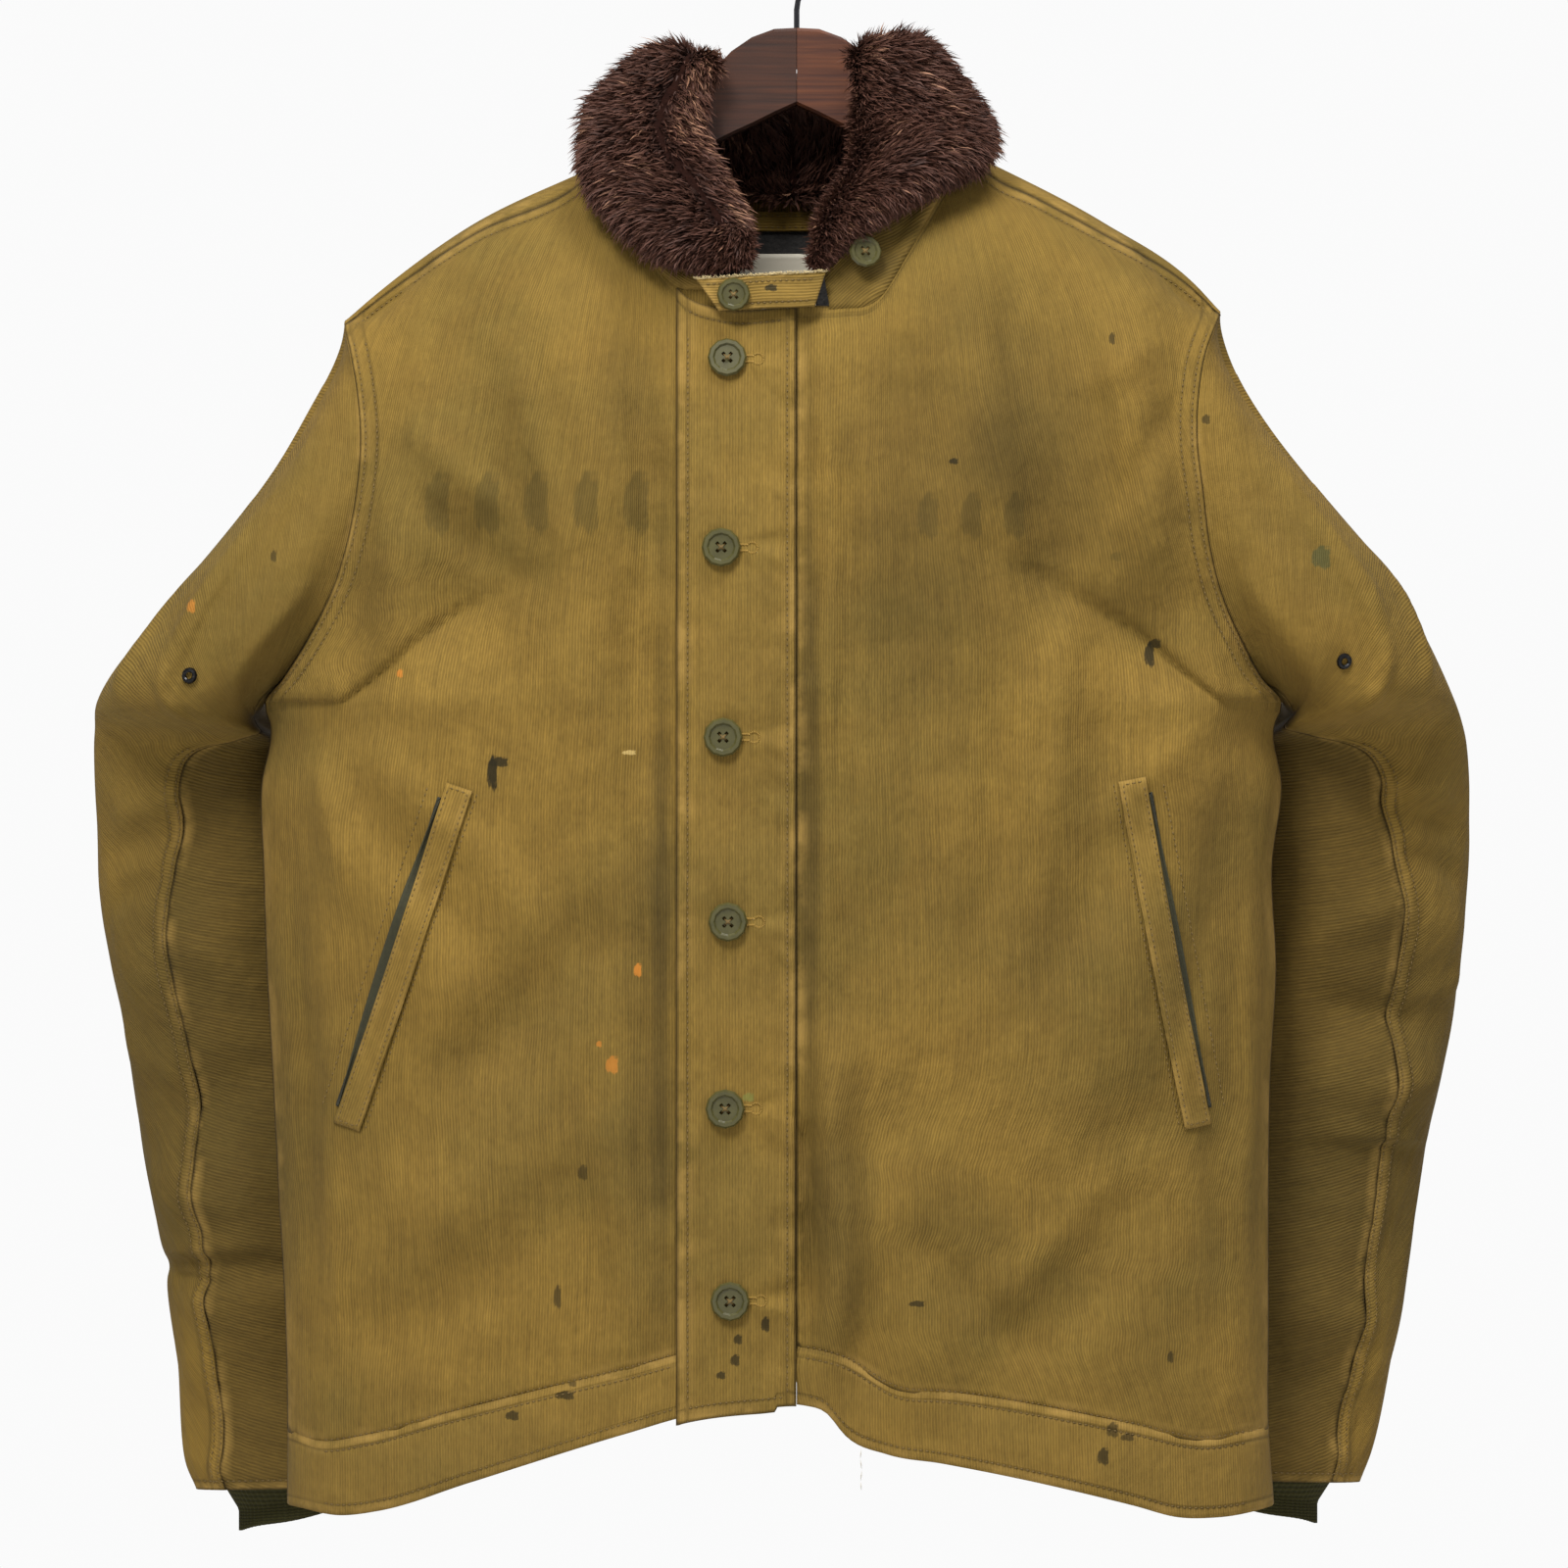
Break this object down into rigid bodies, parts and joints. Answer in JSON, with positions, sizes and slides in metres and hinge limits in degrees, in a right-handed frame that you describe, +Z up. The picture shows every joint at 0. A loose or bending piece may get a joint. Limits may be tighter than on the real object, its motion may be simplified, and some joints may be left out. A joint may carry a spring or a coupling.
{
  "type": "deck jacket on hanger",
  "caption": "Buttoned deck jacket with a turned-out pile collar, slanting welt pockets and set-in knit cuffs, hung on a split wooden hanger with a wire hook.",
  "frame": {"origin": "inside of the hook's crest, where the rail carries it", "axes": "+Z up, -Y out of the buttoned front towards the viewer, +X to the viewer's right"},
  "size_m": [0.7433, 0.2344, 0.8753],
  "materials": {
    "back": "cotton grosgrain",
    "button_1": "olive, glossy",
    "button_2": "olive, glossy",
    "button_3": "olive, glossy",
    "button_4": "olive, glossy",
    "button_5": "olive, glossy",
    "button_6": "olive, glossy",
    "button_collar": "olive, glossy",
    "button_tab": "olive, glossy",
    "collar_cloth": "cotton grosgrain",
    "collar_fur": "long brown pile",
    "cuff_left_knit": "ribbed knit",
    "cuff_right_knit": "ribbed knit",
    "eyelet_left": "black enamelled eyelet",
    "eyelet_right": "black enamelled eyelet",
    "front_left": "cotton grosgrain",
    "front_right": "cotton grosgrain",
    "hanger_left": "dark stained, varnished",
    "hanger_right": "dark stained, varnished",
    "hem_band_back": "cotton grosgrain, worn edges",
    "hem_band_left": "cotton grosgrain, worn edges",
    "hem_band_right": "cotton grosgrain, worn edges",
    "hook": "black wire",
    "neck_label": "woven, bare",
    "neck_lining": "dark pile lining",
    "neck_tape": "cotton tape",
    "placket": "cotton grosgrain, worn edges",
    "pocket_left_facing": "cotton grosgrain",
    "pocket_left_welt": "cotton grosgrain",
    "pocket_right_facing": "cotton grosgrain",
    "pocket_right_welt": "cotton grosgrain",
    "sleeve_left_top": "cotton grosgrain",
    "sleeve_left_under": "cotton grosgrain",
    "sleeve_right_top": "cotton grosgrain",
    "sleeve_right_under": "cotton grosgrain",
    "throat_tab": "cotton grosgrain, frayed edge"
  },
  "bodies": {
    "root": {"back": "back", "button_1": "button_1", "button_2": "button_2", "button_3": "button_3", "button_4": "button_4", "button_5": "button_5", "button_6": "button_6", "button_collar": "button_collar", "button_tab": "button_tab", "collar_cloth": "collar_cloth", "collar_fur": "collar_fur", "cuff_left_knit": "cuff_left_knit", "cuff_right_knit": "cuff_right_knit", "eyelet_left": "eyelet_left", "eyelet_right": "eyelet_right", "front_left": "front_left", "front_right": "front_right", "hanger_left": "hanger_left", "hanger_right": "hanger_right", "hem_band_back": "hem_band_back", "hem_band_left": "hem_band_left", "hem_band_right": "hem_band_right", "hook": "hook", "neck_label": "neck_label", "neck_lining": "neck_lining", "neck_tape": "neck_tape", "placket": "placket", "pocket_left_facing": "pocket_left_facing", "pocket_left_welt": "pocket_left_welt", "pocket_right_facing": "pocket_right_facing", "pocket_right_welt": "pocket_right_welt", "sleeve_left_top": "sleeve_left_top", "sleeve_left_under": "sleeve_left_under", "sleeve_right_top": "sleeve_right_top", "sleeve_right_under": "sleeve_right_under", "throat_tab": "throat_tab"}
  },
  "joints": []
}
